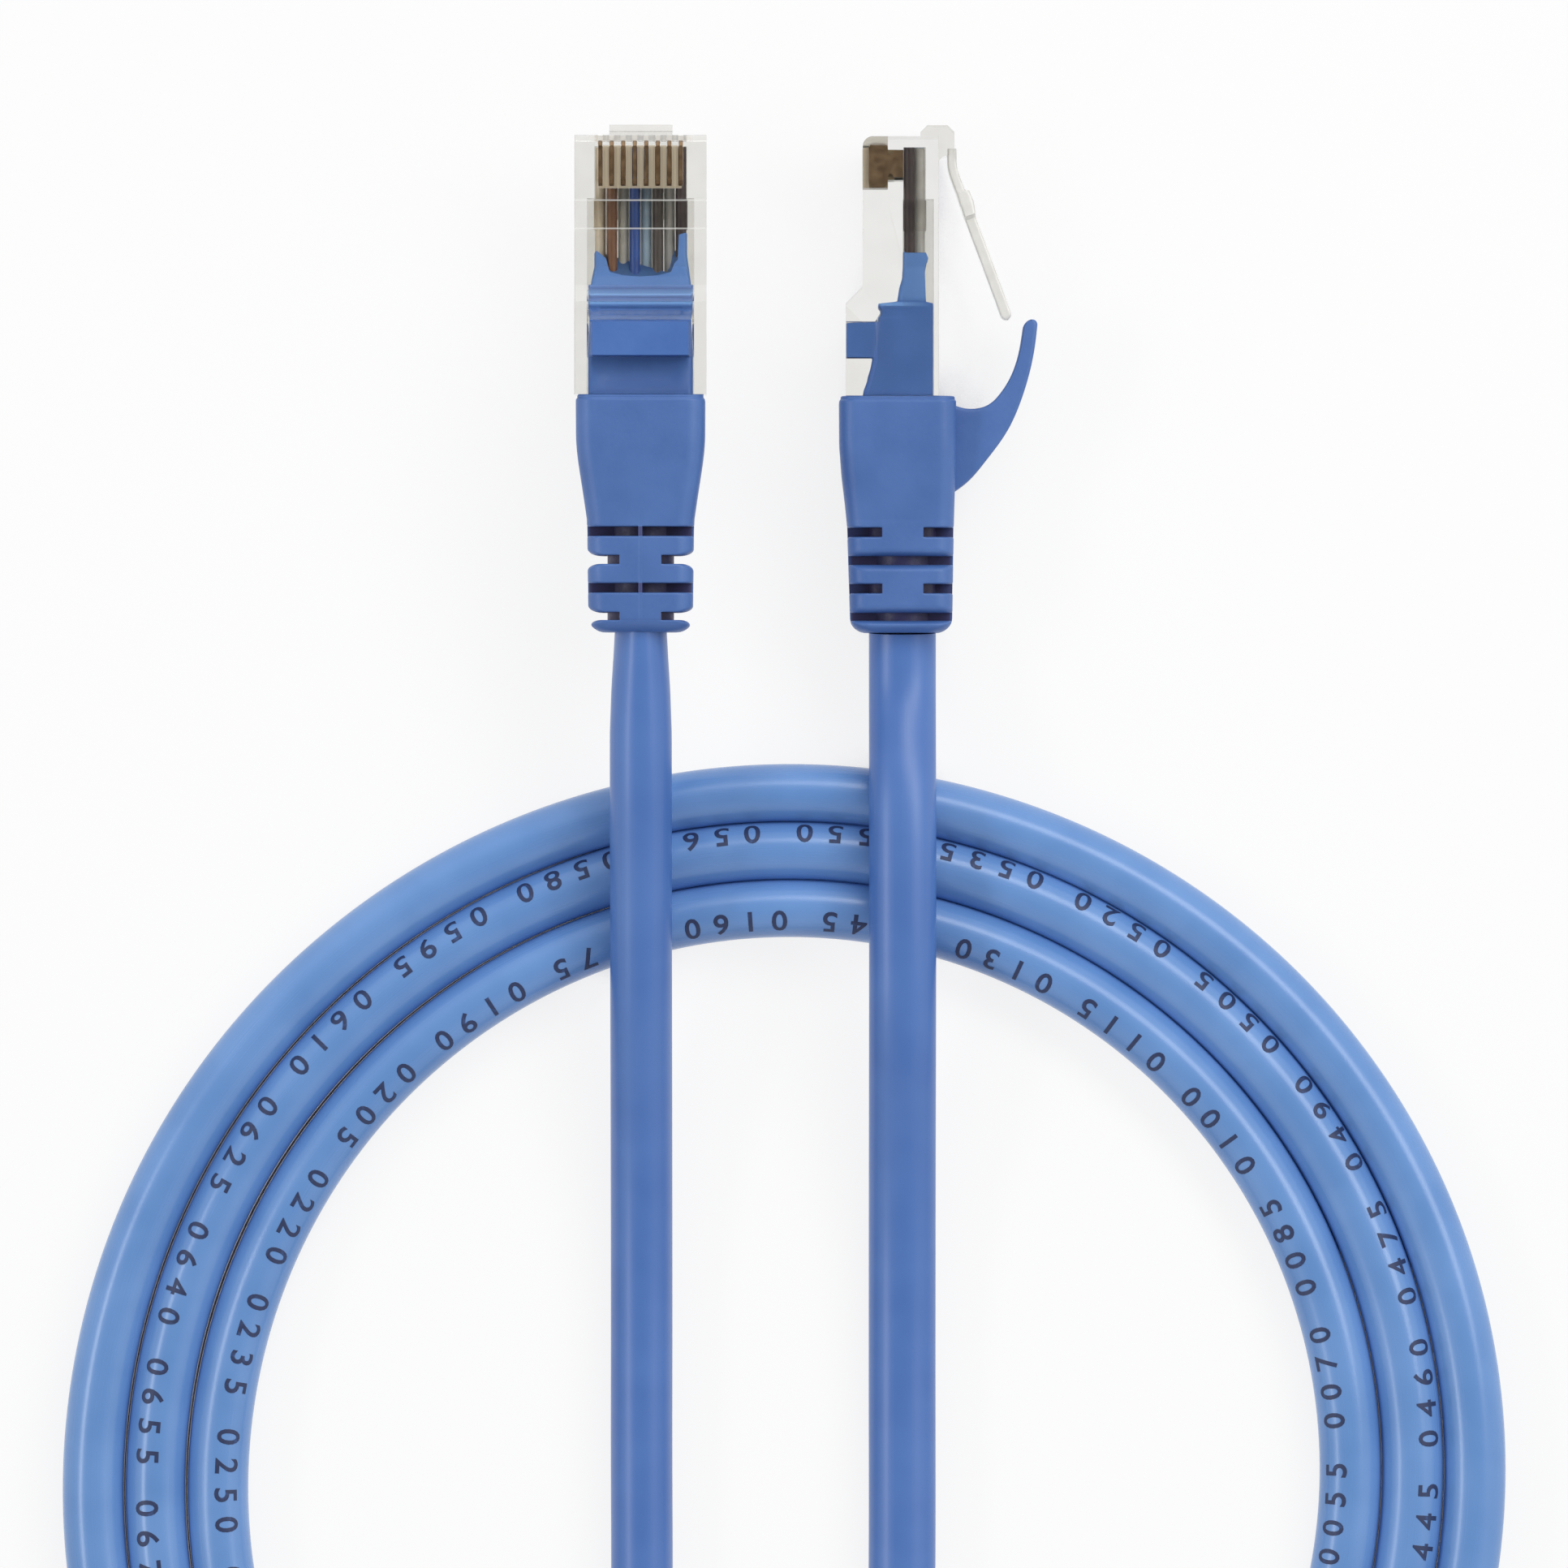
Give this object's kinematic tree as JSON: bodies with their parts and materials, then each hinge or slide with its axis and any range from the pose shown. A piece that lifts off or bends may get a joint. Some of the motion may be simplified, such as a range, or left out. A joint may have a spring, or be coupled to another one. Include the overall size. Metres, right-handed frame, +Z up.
{
  "type": "ethernet patch cable",
  "caption": "Round patch cable wound in flat turns, with a modular plug, bend-relief boot and snag guard at each end; latches and guards press in.",
  "frame": {"origin": "on the resting surface, under the middle of the two plugs' box", "axes": "+Y along both plugs towards their noses, away from the coil; +Z up; plug A lies on the -X side"},
  "size_m": [0.128, 0.1817, 0.0177],
  "materials": {
    "blue_jacket": "satin extruded PVC jacket",
    "moulded_blue": "fine moulded texture, soft PVC",
    "clear_plastic": "clear polished polycarbonate",
    "gold_contact": "gold-plated phosphor bronze, satin",
    "separator_plastic": "natural polyethylene",
    "white_orange_wire": "extruded polyethylene insulation",
    "orange_wire": "extruded polyethylene insulation",
    "white_green_wire": "extruded polyethylene insulation",
    "blue_wire": "extruded polyethylene insulation",
    "white_blue_wire": "extruded polyethylene insulation",
    "green_wire": "extruded polyethylene insulation",
    "white_brown_wire": "extruded polyethylene insulation",
    "brown_wire": "extruded polyethylene insulation"
  },
  "bodies": {
    "root": {"plug_a_housing": "clear_plastic", "plug_a_load_bar": "clear_plastic", "plug_a_inner_mould": "moulded_blue", "plug_a_boot": "moulded_blue", "plug_a_jacket_end": "blue_jacket", "plug_a_separator": "separator_plastic", "plug_b_housing": "clear_plastic", "plug_b_load_bar": "clear_plastic", "plug_b_inner_mould": "moulded_blue", "plug_b_boot": "moulded_blue", "plug_b_jacket_end": "blue_jacket", "plug_b_separator": "separator_plastic", "plug_a_contact_1": "gold_contact", "plug_a_contact_2": "gold_contact", "plug_a_contact_3": "gold_contact", "plug_a_contact_4": "gold_contact", "plug_a_contact_5": "gold_contact", "plug_a_contact_6": "gold_contact", "plug_a_contact_7": "gold_contact", "plug_a_contact_8": "gold_contact", "plug_b_contact_1": "gold_contact", "plug_b_contact_2": "gold_contact", "plug_b_contact_3": "gold_contact", "plug_b_contact_4": "gold_contact", "plug_b_contact_5": "gold_contact", "plug_b_contact_6": "gold_contact", "plug_b_contact_7": "gold_contact", "plug_b_contact_8": "gold_contact", "plug_a_wire_1": "white_orange_wire", "plug_a_wire_2": "orange_wire", "plug_a_wire_3": "white_green_wire", "plug_a_wire_4": "blue_wire", "plug_a_wire_5": "white_blue_wire", "plug_a_wire_6": "green_wire", "plug_a_wire_7": "white_brown_wire", "plug_a_wire_8": "brown_wire", "plug_b_wire_1": "white_orange_wire", "plug_b_wire_2": "orange_wire", "plug_b_wire_3": "white_green_wire", "plug_b_wire_4": "blue_wire", "plug_b_wire_5": "white_blue_wire", "plug_b_wire_6": "green_wire", "plug_b_wire_7": "white_brown_wire", "plug_b_wire_8": "brown_wire", "cable_coil": "blue_jacket", "cable_leg_a": "blue_jacket", "cable_leg_b": "blue_jacket"},
    "latch_a": {"plug_a_latch": "clear_plastic"},
    "guard_a": {"plug_a_guard": "moulded_blue"},
    "latch_b": {"plug_b_latch": "clear_plastic"},
    "guard_b": {"plug_b_guard": "moulded_blue"}
  },
  "joints": [
    {"name": "guard_a_press", "type": "hinge", "parent": "root", "child": "guard_a", "pos_m": [-0.0147, -0.00555, 0.00565], "axis": [1, 0, 0], "range_deg": [0, 20], "stiffness_Nm_per_rad": 0.05},
    {"name": "latch_a_press", "type": "hinge", "parent": "root", "child": "latch_a", "pos_m": [-0.0147, 0.01905, 0.008], "axis": [-1, 0, 0], "range_deg": [0, 14]},
    {"name": "guard_b_press", "type": "hinge", "parent": "root", "child": "guard_b", "pos_m": [0.01489, -0.00555, 0.00584], "axis": [0, 0, 1], "range_deg": [0, 20], "stiffness_Nm_per_rad": 0.05},
    {"name": "latch_b_press", "type": "hinge", "parent": "root", "child": "latch_b", "pos_m": [0.01254, 0.01905, 0.00584], "axis": [0, 0, -1], "range_deg": [0, 14]}
  ],
  "couplings": [
    {"joint": "latch_a_press", "follows": "guard_a_press", "ratio": 0.7},
    {"joint": "latch_b_press", "follows": "guard_b_press", "ratio": 0.7}
  ]
}
